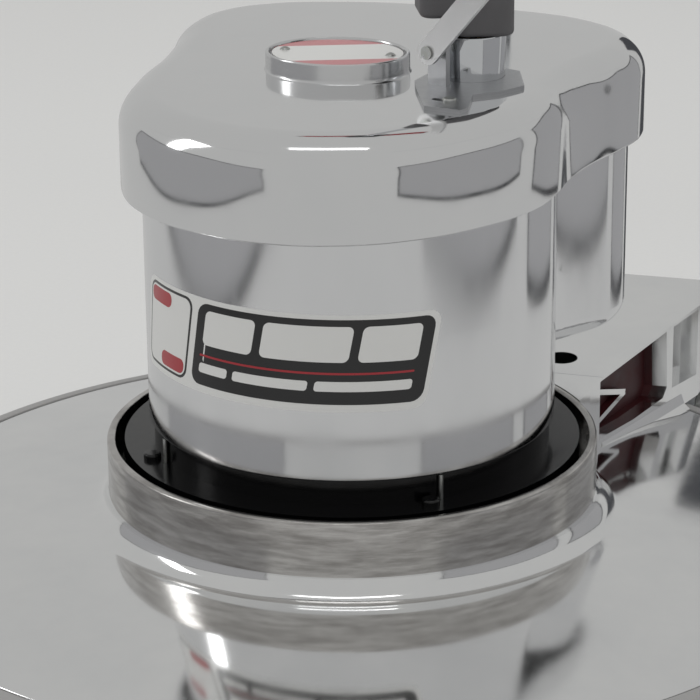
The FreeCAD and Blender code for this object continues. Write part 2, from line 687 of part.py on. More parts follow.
def switch_housing():
    shell = block(-56, 56, PIVOT_Y - 34, PIVOT_Y + 34, HEAD_Z - 46, HEAD_Z + 50, 12)
    inside = block(-52, 52, PIVOT_Y - 30, PIVOT_Y + 40, HEAD_Z - 42, HEAD_Z + 46, 4)
    shell = shell.cut(inside)
    shell = shell.cut(rod_x(GRIP_R - 4, -80, 80, GRIP_Y, GRIP_Z)).cut(rod_x(4 + RUN_GAP, -80, 80, LEVER_Y, LEVER_Z))
    shell = shell.cut(disc(8 + 0.35, HEAD_Z, HEAD_Z + 90, 0, PIVOT_Y))
    return shell.cut(disc(7, HEAD_Z - 60, HEAD_Z - 30, 34, PIVOT_Y))


def housing_cover():
    cover = block(-52, 52, PIVOT_Y + 30, PIVOT_Y + 34, HEAD_Z - 42, HEAD_Z + 46)
    return cover


def housing_screws():
    return [rod_y(3.4, PIVOT_Y + 34, PIVOT_Y + 36, x, z) for x in (-44, 44) for z in (HEAD_Z - 34, HEAD_Z + 38)]


def handlebars():
    return both_sides(tube_x(GRIP_R - 4, GRIP_R - 6.5, 52, 196, GRIP_Y, GRIP_Z))


def hand_grips():
    grip = rod_x(GRIP_R, 78, 200, GRIP_Y, GRIP_Z).cut(rod_x(GRIP_R - 4, 60, 196, GRIP_Y, GRIP_Z))
    edges = [e for e in grip.Edges if abs(e.BoundBox.XMax - 200) < 0.01 and e.BoundBox.ZLength > 2 * GRIP_R - 1]
    grip = grip.makeFillet(4, edges)
    return both_sides(grip)


def switch_levers():
    """Both finger levers stand on one cross shaft through the housing."""
    shaft = rod_x(4, -64, 64, LEVER_Y, LEVER_Z)
    paddle = block(58, 176, LEVER_Y - 5, LEVER_Y + 56, LEVER_Z - 2.5, LEVER_Z + 2.5, 4)
    hub = rod_x(7, 58, 64, LEVER_Y, LEVER_Z)
    cam = rod_x(9, -8, 8, LEVER_Y, LEVER_Z)
    return shaft.fuse(both_sides(paddle) + both_sides(hub) + [cam]).removeSplitter()


def lock_button():
    stem = disc(8, HEAD_Z + 30, HEAD_Z + 62, 0, PIVOT_Y)
    collar = disc(11, HEAD_Z + 28, HEAD_Z + 34, 0, PIVOT_Y)
    return stem.fuse(collar).removeSplitter()


def run_switch():
    return block(-14, 14, PIVOT_Y - 8, PIVOT_Y + 14, HEAD_Z - 8, HEAD_Z + 16, 2)


def cord_gland():
    gland = ring(11, 4.5, HEAD_Z - 60, HEAD_Z - 46, 34, PIVOT_Y)
    return gland.fuse(ring(7, 4.5, HEAD_Z - 46, HEAD_Z - 38, 34, PIVOT_Y)).removeSplitter()


def hook(z, up):
    """A cord hook in front of the tube: a peg with an upturned or downturned finger."""
    y0 = PIVOT_Y - TUBE_R - 5
    peg = rod_y(5, y0 - 34, y0, 0, z)
    finger = disc(5, z, z + 34, 0, y0 - 34) if up else disc(5, z - 34, z, 0, y0 - 34)
    return peg.fuse([finger, Part.makeSphere(5, Vector(0, y0 - 34, z))]).removeSplitter()


def hook_clamp(z):
    band = ring(TUBE_R + 5, TUBE_R, z - 9, z + 9, 0, PIVOT_Y)
    return band


LOWER_HOOK_Z = 560.0
UPPER_HOOK_Z = 860.0


def main():
    export("deck_housing", deck_housing())
    export("handle_yoke", handle_yoke())
    export("deck_bumper", deck_bumper())
    export("lower_end_bell", lower_end_bell())
    export("end_bell_screws", *end_bell_screws())
    export("motor_can", motor_can())
    export("stator_core", stator_core())
    export("stator_windings", *stator_windings())
    export("upper_end_bell", upper_end_bell())
    export("through_bolts", *through_bolts())
    export("lower_bearing", bearing(31, SHAFT_R + RUN_GAP, 130, 146))
    export("upper_bearing", bearing(26, 12.5 + RUN_GAP, 305, 320))
    export("motor_shaft", motor_shaft())
    export("rotor_core", rotor_core())
    export("cooling_fan", cooling_fan())
    export("drive_hub", drive_hub())
    export("spindle_bolt", spindle_bolt())
    export("drive_screws", *drive_screws())
    export("pad_driver", pad_driver())
    export("burnishing_pad", pad())
    export("centre_lock", centre_lock())
    export("motor_cover", motor_cover())
    export("badge_plate", badge_plate())
    export("badge_rivets", *badge_rivets())
    export("cover_screws", *cover_screws())
    export("capacitor_cover", capacitor_cover())
    export("capacitors", *capacitors())
    export("capacitor_bracket", capacitor_bracket())
    export("inlet_bracket", inlet_bracket())
    export("power_inlet", power_inlet())
    export("inlet_pins", *inlet_pins())
    export("motor_plug", motor_plug())
    export("bracket_screw", bracket_screw())
    export("latch_pin", latch_pin())
    export("plug_latch", plug_latch())
    export("wheel_brackets", *wheel_brackets())
    export("wheel_axle", wheel_axle())
    export("axle_collars", *axle_collars())
    for side, tyre, hub in zip(("right", "left"), both_sides(wheel_tyre()), both_sides(wheel_hub())):
        export("tyre_" + side, tyre)
        export("wheel_hub_" + side, hub)
    export("pivot_bolt", pivot_bolt())
    export("tilt_lock_lever", tilt_lock_lever())
    export("bracket_bolts", *bracket_bolts())
    export("handle_base", handle_base())
    export("handle_tube", handle_tube())
    export("socket_bolts", *socket_bolts())
    export("switch_housing", switch_housing())
    export("housing_cover", housing_cover())
    export("housing_screws", *housing_screws())
    export("handlebars", *handlebars())
    export("hand_grips", *hand_grips())
    export("switch_levers", switch_levers())
    export("lock_button", lock_button())
    export("run_switch", run_switch())
    export("cord_gland", cord_gland())
    export("hook_clamps", hook_clamp(LOWER_HOOK_Z), hook_clamp(UPPER_HOOK_Z))
    export("lower_hook", hook(LOWER_HOOK_Z, False))
    export("upper_hook", hook(UPPER_HOOK_Z, True))


main()
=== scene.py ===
"""High speed floor burnisher: its looks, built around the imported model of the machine.

Metres, +Z up. The origin is on the floor under the motor shaft, the front faces -Y and the handle
stands at the rear. Piece sizes below are in millimetres.
"""
import math

import bmesh
import bpy
from mathutils import Matrix, Vector


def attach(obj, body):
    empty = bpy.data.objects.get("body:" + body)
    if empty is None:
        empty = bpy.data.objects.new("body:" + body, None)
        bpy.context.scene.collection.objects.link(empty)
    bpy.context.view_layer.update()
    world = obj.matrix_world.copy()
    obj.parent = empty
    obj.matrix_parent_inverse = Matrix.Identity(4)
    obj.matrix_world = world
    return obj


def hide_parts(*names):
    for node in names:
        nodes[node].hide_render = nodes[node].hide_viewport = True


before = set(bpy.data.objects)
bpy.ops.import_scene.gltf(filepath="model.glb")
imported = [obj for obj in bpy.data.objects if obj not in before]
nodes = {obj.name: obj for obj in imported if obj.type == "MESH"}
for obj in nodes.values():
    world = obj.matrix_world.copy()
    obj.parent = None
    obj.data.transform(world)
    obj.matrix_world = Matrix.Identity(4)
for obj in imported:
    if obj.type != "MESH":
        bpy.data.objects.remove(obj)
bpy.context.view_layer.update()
MM = 0.001

# ---- The room ------------------------------------------------------------------------------------
# A plain pale studio floor that runs out to the horizon, under a soft grey sky and broad soft lights.
# Polished metal shows what stands round it, so boards stand round the machine for it to reflect.
FLOOR_GREY = "#e3e3e2"
SKY_GREY = "#bcbcbb"
BOARD_GREY = "#9c9c9d"
EDGE_BLACK = "#202124"


def linear(code):
    """An sRGB hex colour as linear red, green, blue and alpha."""
    parts = [int(code[i:i + 2], 16) / 255 for i in (1, 3, 5)]
    return tuple(c / 12.92 if c <= 0.04045 else ((c + 0.055) / 1.055) ** 2.4 for c in parts) + (1.0,)


def add(tree, kind, values=None, links=None, **settings):
    """Adds one shader node: its settings, its sockets' values and the links into them."""
    node = tree.nodes.new("ShaderNode" + kind)
    for name, value in settings.items():
        setattr(node, name, value)
    for name, value in (values or {}).items():
        node.inputs[name].default_value = value
    for name, socket in (links or {}).items():
        tree.links.new(socket, node.inputs[name])
    return node


def start_finish(name, colour, roughness, metallic=0.0, **sockets):
    """A material with its shader's own values set: gives the material, its node tree and its shader."""
    material = bpy.data.materials.new(name)
    material.use_nodes = True
    tree = material.node_tree
    shader = tree.nodes["Principled BSDF"]
    shader.inputs["Base Color"].default_value = linear(colour)
    shader.inputs["Roughness"].default_value = roughness
    shader.inputs["Metallic"].default_value = metallic
    for socket, value in sockets.items():
        shader.inputs[socket.replace("_", " ")].default_value = value
    return material, tree, shader


def make_piece(name, bm, material, sharp=30.0):
    """Turns a bmesh drawn in millimetres into an object, smooth but for edges sharper than `sharp`."""
    bmesh.ops.scale(bm, vec=(MM, MM, MM), verts=bm.verts)
    mesh = bpy.data.meshes.new(name)
    bm.to_mesh(mesh)
    bm.free()
    mesh.shade_smooth()
    mesh.set_sharp_from_angle(angle=math.radians(sharp))
    mesh.materials.append(material)
    piece = bpy.data.objects.new(name, mesh)
    bpy.context.scene.collection.objects.link(piece)
    return piece


def glow(name, colour):
    """A board's own even light."""
    material = bpy.data.materials.new(name)
    material.use_nodes = True
    tree = material.node_tree
    tree.nodes.remove(tree.nodes["Principled BSDF"])
    lamp = add(tree, "Emission", {"Color": linear(colour), "Strength": 1.0})
    tree.links.new(lamp.outputs[0], tree.nodes["Material Output"].inputs["Surface"])
    return material


def reflected_board(name, material, width, height, turn, distance, base):
    """An upright board that faces the machine: turn is degrees from the front towards +X."""
    bm = bmesh.new()
    bmesh.ops.create_grid(bm, x_segments=1, y_segments=1, size=0.5)
    bmesh.ops.scale(bm, vec=(width, height, 1), verts=bm.verts)
    bmesh.ops.rotate(bm, matrix=Matrix.Rotation(math.radians(-90), 3, "X"), verts=bm.verts)
    bmesh.ops.translate(bm, vec=(0, -distance, base + height / 2), verts=bm.verts)
    bmesh.ops.rotate(bm, matrix=Matrix.Rotation(math.radians(turn), 3, "Z"), verts=bm.verts)
    board = make_piece(name, bm, material)
    board.visible_camera = board.visible_diffuse = board.visible_shadow = False
    return board


floor_paint, tree, shader = start_finish("matt_floor_paint", FLOOR_GREY, 0.85)
grain = add(tree, "TexNoise", {"Scale": 1 / 0.004, "Detail": 3.0},
            {"Vector": add(tree, "TexCoord").outputs["Object"]})
shade = add(tree, "Mix", {6: linear(FLOOR_GREY), 7: linear("#dfdfde")},
            {0: grain.outputs["Fac"]}, data_type="RGBA")
tree.links.new(shade.outputs[2], shader.inputs["Base Color"])
bm = bmesh.new()
bmesh.ops.create_circle(bm, cap_ends=True, segments=96, radius=60000)
floor = make_piece("floor", bm, floor_paint)
floor.visible_glossy = False

world = bpy.data.worlds.new("grey_sky")
bpy.context.scene.world = world
world.use_nodes = True
tree = world.node_tree
height = add(tree, "SeparateXYZ", links={0: add(tree, "TexCoord").outputs["Generated"]})
sky = add(tree, "ValToRGB", links={"Fac": height.outputs["Z"]})
sky.color_ramp.elements[0].position = 0.0
sky.color_ramp.elements[0].color = linear(SKY_GREY)
sky.color_ramp.elements[1].position = 0.05
sky.color_ramp.elements[1].color = linear(SKY_GREY)
tree.links.new(sky.outputs["Color"], tree.nodes["Background"].inputs["Color"])


def soft_light(name, place, aim, size, power, reflected=True):
    """A rectangular soft light that points from one place at another, in metres."""
    lamp = bpy.data.lights.new(name, "AREA")
    lamp.shape = "RECTANGLE"
    lamp.size, lamp.size_y = size
    lamp.energy = power
    holder = bpy.data.objects.new(name, lamp)
    holder.location = place
    holder.rotation_euler = (Vector(aim) - Vector(place)).to_track_quat("-Z", "Y").to_euler()
    holder.visible_camera = False
    holder.visible_glossy = reflected
    bpy.context.scene.collection.objects.link(holder)


soft_light("wide_fill", (0, 0, 3.4), (0, 0, 0), (5.0, 5.0), 57, reflected=False)
soft_light("overhead_box", (0.1, -0.55, 2.3), (0, 0, 0.2), (1.1, 0.2), 1.6)
soft_light("side_box", (-2.4, -0.6, 1.5), (0, 0, 0.3), (0.5, 1.3), 7)

# Each grey board (side, turn, width, base) has a wider black one just behind it, which draws the dark
# line round its reflection. A narrow dark board stands behind the machine.
BOARDS = (("left", -64.5, 2800, -215), ("right", 86, 1770, -185), ("rear", 143, 800, -215))
BOARD_AWAY, BOARD_TOP, BOARD_RIM = 1500, 700, 30
board_paint = glow("grey_board", BOARD_GREY)
edge_paint = glow("black_board_edge", EDGE_BLACK)
for side, turn, width, base in BOARDS:
    reflected_board("board_" + side, board_paint, width, BOARD_TOP - base, turn, BOARD_AWAY, base)
    reflected_board("board_edge_" + side, edge_paint, width + 2 * BOARD_RIM, BOARD_TOP - base + 2 * BOARD_RIM,
                    turn, BOARD_AWAY + 10, base - BOARD_RIM)
reflected_board("board_behind", glow("dark_board", "#46474a"), 330, 1900, 172, BOARD_AWAY, -1200)

# The camera stands in front, a little to the machine's +X side, and looks down at the motor.
CAMERA_AT = (0.3896, -1.3178, 0.6947)
CAMERA_TURN, CAMERA_PITCH, CAMERA_ROLL = 16.5, 19.52, -0.51
camera = bpy.data.objects.new("camera", bpy.data.cameras.new("camera"))
camera.data.lens = 141.9
camera.data.sensor_width = 36.0
camera.data.clip_end = 200.0
look = (Matrix.Rotation(math.radians(CAMERA_TURN), 4, "Z")
        @ Matrix.Rotation(math.radians(90 - CAMERA_PITCH), 4, "X")
        @ Matrix.Rotation(math.radians(CAMERA_ROLL), 4, "Z"))
camera.matrix_world = Matrix.Translation(CAMERA_AT) @ look
bpy.context.scene.collection.objects.link(camera)
bpy.context.scene.camera = camera
bpy.context.scene.view_settings.view_transform = "Standard"

# ---- Deck ----------------------------------------------------------------------------------------
# One aluminium casting, turned and buffed to a mirror: a shallow dome over the pad, a skirt at its
# edge and a collar round the motor. Buffing leaves the cast face gently uneven, so it reflects in
# soft waves. The collar's wall is hazier, with faint level streaks, and its darker brown-grey colour
# there is painted reflection.
DECK_R = 259.0
SKIRT_R = 262.0
COLLAR_R = 130.4
COLLAR_BORE_R = 126.0
COLLAR_TOP = 163.4
CROWN_R, CROWN_TOP = 142.4, 123.4
DECK_EDGE = 110.0
# The band of the collar's wall that is hazier and darkened by painted reflection, in millimetres high.
HAZE_AND_REFLECTION_LOW, HAZE_AND_REFLECTION_HIGH = 134.5, 165.5
ALUMINIUM = "#f2f2f1"


def buffed_metal(name, colour, roughness, haze_and_painted_reflection, wave_mm, wave_depth_mm, streak=(1, 1, 1)):
    """Polished metal: haze is how much rougher its dull patches are; waves bend what it reflects."""
    material, tree, shader = start_finish(name, colour, roughness, metallic=1.0)
    place = add(tree, "TexCoord").outputs["Object"]
    stretched = add(tree, "Mapping", {"Scale": streak}, {"Vector": place}).outputs[0]
    patches = add(tree, "TexNoise", {"Scale": 1 / 0.045, "Detail": 4.0, "Roughness": 0.6},
                  {"Vector": stretched})
    dull = add(tree, "MapRange",
               {"From Min": 0.35, "From Max": 0.75, "To Min": roughness, "To Max": roughness + haze_and_painted_reflection},
               {"Value": patches.outputs["Fac"]})
    tree.links.new(dull.outputs[0], shader.inputs["Roughness"])
    tint = add(tree, "Mix", {6: linear(colour), 7: linear("#e3e4e5")}, {0: patches.outputs["Fac"]},
               data_type="RGBA")
    tree.links.new(tint.outputs[2], shader.inputs["Base Color"])
    waves = add(tree, "TexNoise", {"Scale": 1000 / wave_mm, "Detail": 1.0}, {"Vector": place})
    bend = add(tree, "Bump", {"Distance": wave_depth_mm * MM}, {"Height": waves.outputs["Fac"]})
    tree.links.new(bend.outputs[0], shader.inputs["Normal"])
    return material


def arc(centre_r, centre_z, radius, start, end, steps):
    """Points of a rounded corner, as (radius, height) about the shaft."""
    turns = [math.radians(start + (end - start) * i / steps) for i in range(steps + 1)]
    return [(centre_r + radius * math.cos(a), centre_z + radius * math.sin(a)) for a in turns]


ON_AXIS = 0.001  # the radius of an outline's points on the axis; merging doubles closes the pole there


def spun(outline, steps):
    """Spins a closed outline of (radius, height) points about the Z axis."""
    bm = bmesh.new()
    line = [bm.verts.new((r, 0, z)) for r, z in outline]
    rim = [bm.edges.new(pair) for pair in zip(line, line[1:] + line[:1])]
    bmesh.ops.spin(bm, geom=line + rim, cent=(0, 0, 0), axis=(0, 0, 1), angle=2 * math.pi,
                   steps=steps, use_merge=True)
    bmesh.ops.remove_doubles(bm, verts=bm.verts, dist=0.0005)
    bmesh.ops.recalc_face_normals(bm, faces=bm.faces)
    return bm


def paint(material, *names):
    """Gives CAD nodes a finish."""
    for name in names:
        mesh = nodes[name].data
        mesh.materials.clear()
        mesh.materials.append(material)


def between(tree, value, low, high):
    """1 where a value lies between two limits, else 0."""
    above = add(tree, "Math", {1: low}, {0: value}, operation="GREATER_THAN")
    below = add(tree, "Math", {1: high}, {0: value}, operation="LESS_THAN")
    both = add(tree, "Math", links={0: above.outputs[0], 1: below.outputs[0]}, operation="MULTIPLY")
    return both.outputs[0]


def lay_over(tree, shader, mask, colour, rough):
    """Lays another colour and roughness over a finish wherever the mask is 1."""
    for name, value, kind in (("Base Color", colour, "RGBA"), ("Roughness", rough, "FLOAT")):
        first, second, result = (6, 7, 2) if kind == "RGBA" else (2, 3, 0)
        under = shader.inputs[name].links[0].from_socket
        mix = add(tree, "Mix", links={0: mask, first: under, second: value}, data_type=kind)
        tree.links.new(mix.outputs[result], shader.inputs[name])


# Buffed cast aluminium: a gently waved mirror, with a duller streaked band on the collar's wall.
# The band's darker brown-grey colour is painted reflection.
collar_metal = buffed_metal("hazy_collar_with_painted_reflection", ALUMINIUM, 0.07, 0.06, 55, 0.05)
tree = collar_metal.node_tree
place = add(tree, "TexCoord").outputs["Object"]
rings = add(tree, "TexNoise", {"Scale": 1 / 0.03, "Detail": 5.0, "Roughness": 0.65},
            {"Vector": add(tree, "Mapping", {"Scale": (1, 1, 7)}, {"Vector": place}).outputs[0]})
# Painted reflection: the darker brown-grey, streaked colour of the collar's wall.
haze_and_painted_reflection = add(tree, "ValToRGB", links={"Fac": rings.outputs["Fac"]})
haze_and_painted_reflection.color_ramp.elements[0].position, haze_and_painted_reflection.color_ramp.elements[0].color = 0.36, linear("#a3a09d")
haze_and_painted_reflection.color_ramp.elements[1].position, haze_and_painted_reflection.color_ramp.elements[1].color = 0.64, linear("#d0cecb")
rough = add(tree, "MapRange", {"From Min": 0.3, "From Max": 0.7, "To Min": 0.26, "To Max": 0.13},
            {"Value": rings.outputs["Fac"]})
height = add(tree, "SeparateXYZ", links={0: place}).outputs["Z"]
lay_over(tree, tree.nodes["Principled BSDF"], between(tree, height, HAZE_AND_REFLECTION_LOW * MM, HAZE_AND_REFLECTION_HIGH * MM),
         haze_and_painted_reflection.outputs["Color"], rough.outputs[0])
fall = [(CROWN_R + (DECK_R - 1.5 - CROWN_R) * t, CROWN_TOP - (CROWN_TOP - DECK_EDGE) * t ** 1.35)
        for t in [i / 28 for i in range(1, 29)]]
deck_outline = [(COLLAR_BORE_R, COLLAR_TOP - 0.8)]
deck_outline += arc(COLLAR_BORE_R + 0.8, COLLAR_TOP - 0.8, 0.8, 180, 90, 3)
deck_outline += arc(COLLAR_R - 1.4, COLLAR_TOP - 1.4, 1.4, 90, 0, 5)
deck_outline += arc(CROWN_R, CROWN_TOP + 12, 12, 180, 270, 16) + fall
deck_outline += arc(DECK_R - 1.5, DECK_EDGE - 1.5, 1.5, 80, 0, 3)
deck_outline += [(DECK_R, 101.0), (SKIRT_R, 100.0), (SKIRT_R, 37.0), (SKIRT_R - 1.0, 36.0),
                 (SKIRT_R - 4.5, 36.0), (SKIRT_R - 4.5, 96.0), (247.0, 104.0), (CROWN_R, 118.4),
                 (COLLAR_R, 118.0), (70.0, 118.0), (70.0, 128.0), (COLLAR_BORE_R, 128.0)]
deck = make_piece("buffed_deck", spun(deck_outline, steps=256), collar_metal)
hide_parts("deck_housing")
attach(deck, "machine")

# ---- Yoke ----------------------------------------------------------------------------------------
# The rear arm of the same casting. Its top and ribs are buffed. The pockets in its flanks carry a dark
# red, non-metallic colour: a painted red reflection, darkened as painted shade of the recess.

# Each flank leans out towards the rear: half its width at the shaft, then its gain per metre back.
FLANK_START, FLANK_SLOPE = 0.08356, 0.268
# Where the painted red reflection and shade lie, in metres: how far in from the flank, how far back
# and how high.
PAINTED_REFLECTION_IN, PAINTED_REFLECTION_BACK, PAINTED_REFLECTION_UP = (0.0093, 0.0155), (0.104, 0.198), (0.12, 0.1632)
# Buffed cast aluminium, a little duller than the deck, so its reflections are softer.
yoke_metal = buffed_metal("buffed_yoke_aluminium", ALUMINIUM, 0.09, 0.06, 50, 0.05)
paint(yoke_metal, "handle_base")
# The same, with a satin dark red, slightly blotched, inside the pockets: painted reflection and shade.
yoke_with_painted_reflection = buffed_metal("yoke_with_painted_red_reflection", ALUMINIUM, 0.09, 0.06, 50, 0.05)
tree = yoke_with_painted_reflection.node_tree
place = add(tree, "TexCoord").outputs["Object"]
axes = add(tree, "SeparateXYZ", links={0: place})
side = add(tree, "Math", links={0: axes.outputs["X"]}, operation="ABSOLUTE")
flank = add(tree, "Math", {1: FLANK_SLOPE, 2: FLANK_START}, {0: axes.outputs["Y"]},
            operation="MULTIPLY_ADD")
depth = add(tree, "Math", links={0: flank.outputs[0], 1: side.outputs[0]}, operation="SUBTRACT")
mask = between(tree, depth.outputs[0], *PAINTED_REFLECTION_IN)
for limit in (between(tree, axes.outputs["Y"], *PAINTED_REFLECTION_BACK), between(tree, axes.outputs["Z"], *PAINTED_REFLECTION_UP)):
    mask = add(tree, "Math", links={0: mask, 1: limit}, operation="MULTIPLY").outputs[0]
blotch = add(tree, "TexNoise", {"Scale": 1 / 0.01, "Detail": 3.0}, {"Vector": place})
# Painted reflection and shade: the dark red laid over the pocket floors.
red = add(tree, "Mix", {6: linear("#2c0a0e"), 7: linear("#481318")}, {0: blotch.outputs["Fac"]},
          data_type="RGBA")
satin = add(tree, "MapRange", {"To Min": 0.35, "To Max": 0.6}, {"Value": blotch.outputs["Fac"]})
shader = tree.nodes["Principled BSDF"]
lay_over(tree, shader, mask, red.outputs[2], satin.outputs[0])
metal_outside_red = add(tree, "Math", {0: 1.0}, {1: mask}, operation="SUBTRACT")
tree.links.new(metal_outside_red.outputs[0], shader.inputs["Metallic"])
paint(yoke_with_painted_reflection, "handle_yoke")

# ---- Bumper --------------------------------------------------------------------------------------
# A pale grey vinyl ring pressed on round the deck. Moulded vinyl is satin, with a fine grain.
VINYL = "#9b9a99"
vinyl, tree, shader = start_finish("moulded_grey_vinyl", VINYL, 0.42, IOR=1.53)
grain = add(tree, "TexNoise", {"Scale": 1 / 0.0012, "Detail": 2.0},
            {"Vector": add(tree, "TexCoord").outputs["Object"]})
bend = add(tree, "Bump", {"Distance": 0.00004}, {"Height": grain.outputs["Fac"]})
tree.links.new(bend.outputs[0], shader.inputs["Normal"])
bumper_outline = [(DECK_R + 0.9, 100.4), (DECK_R + 0.9, 109.4), (DECK_R + 1.5, 110.0)]
bumper_outline += arc(264, 102, 8, 90, 0, 12)
bumper_outline += [(272, 88.5), (271.4, 86.5), (268, 82), (262, 82), (262, 100.4)]
bumper = make_piece("vinyl_bumper", spun(bumper_outline, steps=256), vinyl)
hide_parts("deck_bumper")
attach(bumper, "machine")

# ---- Motor base ----------------------------------------------------------------------------------
# The motor's lower end bell: cast, then stove enamelled black together with the screws that hold its
# flange inside the collar. Four thin zinc-plated studs stand upright round its neck.
STUD_TURNS = (-139.0, -49.0, 41.0, 131.0)
STUD_RING_R, STUD_R, STUD_LOW, STUD_TOP = 106.3, 1.3, 162.8, 175.6
# Stoved enamel: deep black and glossy, so it shows only small sharp highlights.
black_enamel, tree, shader = start_finish("stoved_black_enamel", "#060607", 0.2, IOR=1.4,
                                          Coat_Weight=0.15, Coat_Roughness=0.05)
grain = add(tree, "TexNoise", {"Scale": 1 / 0.006, "Detail": 2.0},
            {"Vector": add(tree, "TexCoord").outputs["Object"]})
bend = add(tree, "Bump", {"Distance": 0.00008}, {"Height": grain.outputs["Fac"]})
tree.links.new(bend.outputs[0], shader.inputs["Normal"])
paint(black_enamel, "lower_end_bell", "end_bell_screws")

# Bright zinc plate: silver, mottled with dull and faintly yellow patches.
zinc, tree, shader = start_finish("bright_zinc_plate", "#b9bcc0", 0.28, metallic=1.0)
grain = add(tree, "TexNoise", {"Scale": 1 / 0.002, "Detail": 3.0},
            {"Vector": add(tree, "TexCoord").outputs["Object"]})
dull = add(tree, "MapRange", {"To Min": 0.2, "To Max": 0.42}, {"Value": grain.outputs["Fac"]})
tree.links.new(dull.outputs[0], shader.inputs["Roughness"])
tint = add(tree, "Mix", {6: linear("#c3c5c8"), 7: linear("#a8a99f")}, {0: grain.outputs["Fac"]},
           data_type="RGBA")
tree.links.new(tint.outputs[2], shader.inputs["Base Color"])
paint(zinc, "through_bolts", "cover_screws", "capacitor_bracket", "bracket_screw", "latch_pin",
      "wheel_brackets", "wheel_axle", "axle_collars", "pivot_bolt", "bracket_bolts", "spindle_bolt",
      "drive_screws", "socket_bolts", "housing_screws", "badge_rivets")

for i, turn in enumerate(STUD_TURNS):
    bm = spun([(ON_AXIS, STUD_LOW), (STUD_R, STUD_LOW), (STUD_R, STUD_TOP), (ON_AXIS, STUD_TOP)], steps=16)
    stand = (STUD_RING_R * math.cos(math.radians(turn)), STUD_RING_R * math.sin(math.radians(turn)), 0)
    bmesh.ops.translate(bm, vec=stand, verts=bm.verts)
    stud = make_piece("neck_stud_" + str(i + 1), bm, zinc)
    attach(stud, "machine")

# ---- Motor can -----------------------------------------------------------------------------------
# A drawn steel tube, chromed and polished up and down its length, so its faint smears run upright.
CAN_R = 107.5
CAN_LOW, CAN_TOP = 176.0, 322.0
STEEL = "#efeff0"
# Chrome plate polished lengthways: a mirror whose dull smears are drawn out upright.
polished_can = buffed_metal("polished_chrome_can", STEEL, 0.08, 0.08, 70, 0.05, streak=(1, 1, 0.35))
can_outline = arc(CAN_R - 1.0, CAN_LOW + 1.0, 1.0, -90, 0, 4) + [(CAN_R, 250.0), (CAN_R, CAN_TOP)]
can_outline += [(CAN_R - 2.5, CAN_TOP), (CAN_R - 2.5, CAN_LOW)]
can = make_piece("polished_can", spun(can_outline, steps=256), polished_can)
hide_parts("motor_can")
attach(can, "machine")

# ---- Label on the can ----------------------------------------------------------------------------
# A printed vinyl label wrapped on the can: a black panel in a white border, with a plain white
# panel on its left. Plain bars and one red line stand where lettering would be.
LABEL_LIFT, LAYER_LIFT, LABEL_SINK = 0.12, 0.05, 0.05
LABEL_MID = 238.0
LABEL_SLANT = 0.19  # how far the label leans round the can for each millimetre of height
LABEL_CUT = 3  # the sheets are cut into upright strips this wide, so that they bend round the can


def verts_of(result):
    """The vertices among the geometry that an operator gives back."""
    return [g for g in result["geom"] if isinstance(g, bmesh.types.BMVert)]


def wrapped(shapes, lift):
    """Flat rounded rectangles (left, low, right, high, corner) wrapped on the can as thin sheets."""
    bm = bmesh.new()
    for left, low, right, high, corner in shapes:
        corners = [(right - corner, high - corner, 0), (left + corner, high - corner, 90),
                   (left + corner, low + corner, 180), (right - corner, low + corner, 270)]
        rim = [bm.verts.new((x + corner * math.cos(math.radians(start + turn)), 0,
                             z + corner * math.sin(math.radians(start + turn))))
               for x, z, start in corners for turn in (0, 18, 36, 54, 72, 90)]
        bm.faces.new(rim)
    span = [v.co.x for v in bm.verts]
    cut = math.floor(min(span) / LABEL_CUT) * LABEL_CUT + LABEL_CUT
    while cut < max(span):
        bmesh.ops.bisect_plane(bm, geom=bm.verts[:] + bm.edges[:] + bm.faces[:], plane_co=(cut, 0, 0),
                               plane_no=(1, 0, 0))
        cut += LABEL_CUT
    bmesh.ops.recalc_face_normals(bm, faces=bm.faces)
    grown = bmesh.ops.extrude_face_region(bm, geom=bm.faces[:])
    bmesh.ops.translate(bm, vec=(0, 1, 0), verts=verts_of(grown))
    for v in bm.verts:
        radius = CAN_R + (lift if v.co.y < 0.5 else -LABEL_SINK)
        turn = (v.co.x + LABEL_SLANT * (v.co.z - LABEL_MID)) / CAN_R
        v.co = Vector((radius * math.sin(turn), -radius * math.cos(turn), v.co.z))
    bmesh.ops.recalc_face_normals(bm, faces=bm.faces)
    return bm


def printed(name, colour, roughness=0.3):
    """Printed vinyl: even colour with a faint mottle, under a clear film."""
    material, tree, shader = start_finish(name, colour, roughness, IOR=1.5, Coat_Weight=0.35,
                                          Coat_Roughness=0.12)
    grain = add(tree, "TexNoise", {"Scale": 1 / 0.003, "Detail": 2.0},
                {"Vector": add(tree, "TexCoord").outputs["Object"]})
    uneven = add(tree, "MapRange", {"To Min": roughness - 0.05, "To Max": roughness + 0.08},
                 {"Value": grain.outputs["Fac"]})
    tree.links.new(uneven.outputs[0], shader.inputs["Roughness"])
    return material


